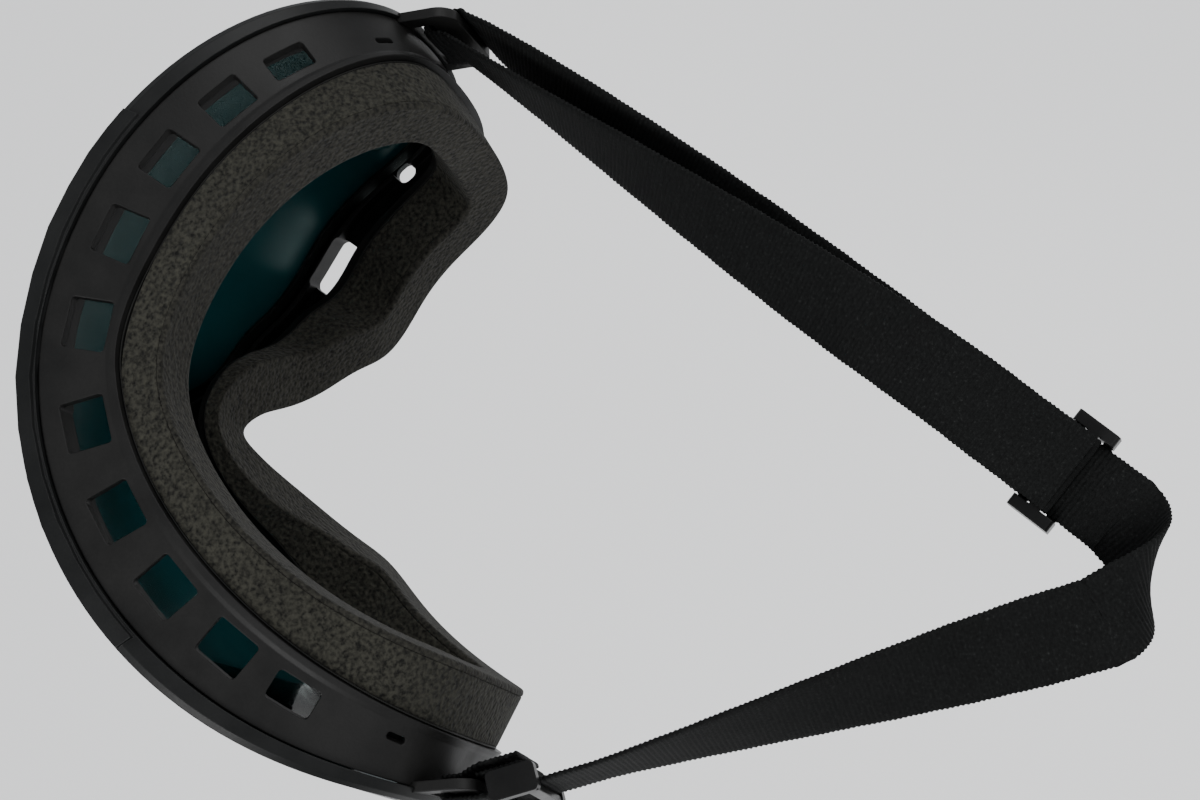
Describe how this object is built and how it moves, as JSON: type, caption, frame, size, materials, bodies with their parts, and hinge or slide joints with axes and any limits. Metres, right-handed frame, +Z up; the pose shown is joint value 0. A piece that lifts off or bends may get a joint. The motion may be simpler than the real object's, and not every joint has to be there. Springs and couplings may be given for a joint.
{
  "type": "welding goggles",
  "caption": "Wraparound welding goggles: flared soft frame with vents, dark lens behind a clear cover, foam face seal, and an elastic strap with three-bar sliders.",
  "frame": {"origin": "middle of the face flange's rear surface on the centre line, at eye level; the goggles are held there by the face seal", "axes": "+Y backwards, from the lens to the wearer and along the strap; +Z up, towards the brow; +X to the wearer's left"},
  "size_m": [0.1882, 0.238, 0.1084],
  "materials": {
    "frame_plastic": "satin soft plastic",
    "rim_plastic": "satin hard plastic",
    "cover_lens": "clear polycarbonate",
    "shade_lens": "dark green-blue filter",
    "gasket": "matt rubber",
    "inner_lens": "clear polycarbonate",
    "film": "adhesive film",
    "foam": "open-cell foam",
    "foam_facing": "brushed fleece on foam",
    "webbing": "ribbed elastic webbing",
    "slider_plastic": "moulded nylon",
    "thread": "polyester thread"
  },
  "bodies": {
    "frame": {"frame_body": "frame_plastic", "front_rim": "rim_plastic", "cover_lens": "cover_lens", "filter_lens": "shade_lens", "lens_gasket": "gasket", "inner_lens": "inner_lens", "foam_film": "film", "face_foam": "foam", "foam_facing": "foam_facing", "strap_tab_left": "frame_plastic", "strap_tab_right": "frame_plastic", "strap_loop_left": "webbing", "strap_loop_right": "webbing", "strap_outer_left": "webbing", "strap_inner_left": "webbing", "strap_outer_right": "webbing", "strap_inner_right": "webbing", "strap_turn": "webbing"},
    "right_slider": {"slider_right": "slider_plastic", "strap_end_right": "webbing", "bar_tack_right": "thread"},
    "left_slider": {"slider_left": "slider_plastic", "strap_end_left": "webbing", "bar_tack_left": "thread"}
  },
  "joints": [
    {"name": "right_slider_slide", "type": "slide", "parent": "frame", "child": "right_slider", "axis": [-0.6799, -0.7221, 0.1279], "range_m": [0, 0.02]},
    {"name": "left_slider_slide", "type": "slide", "parent": "frame", "child": "left_slider", "axis": [-0.2132, 0.973, -0.0884], "range_m": [0, 0.008]}
  ]
}
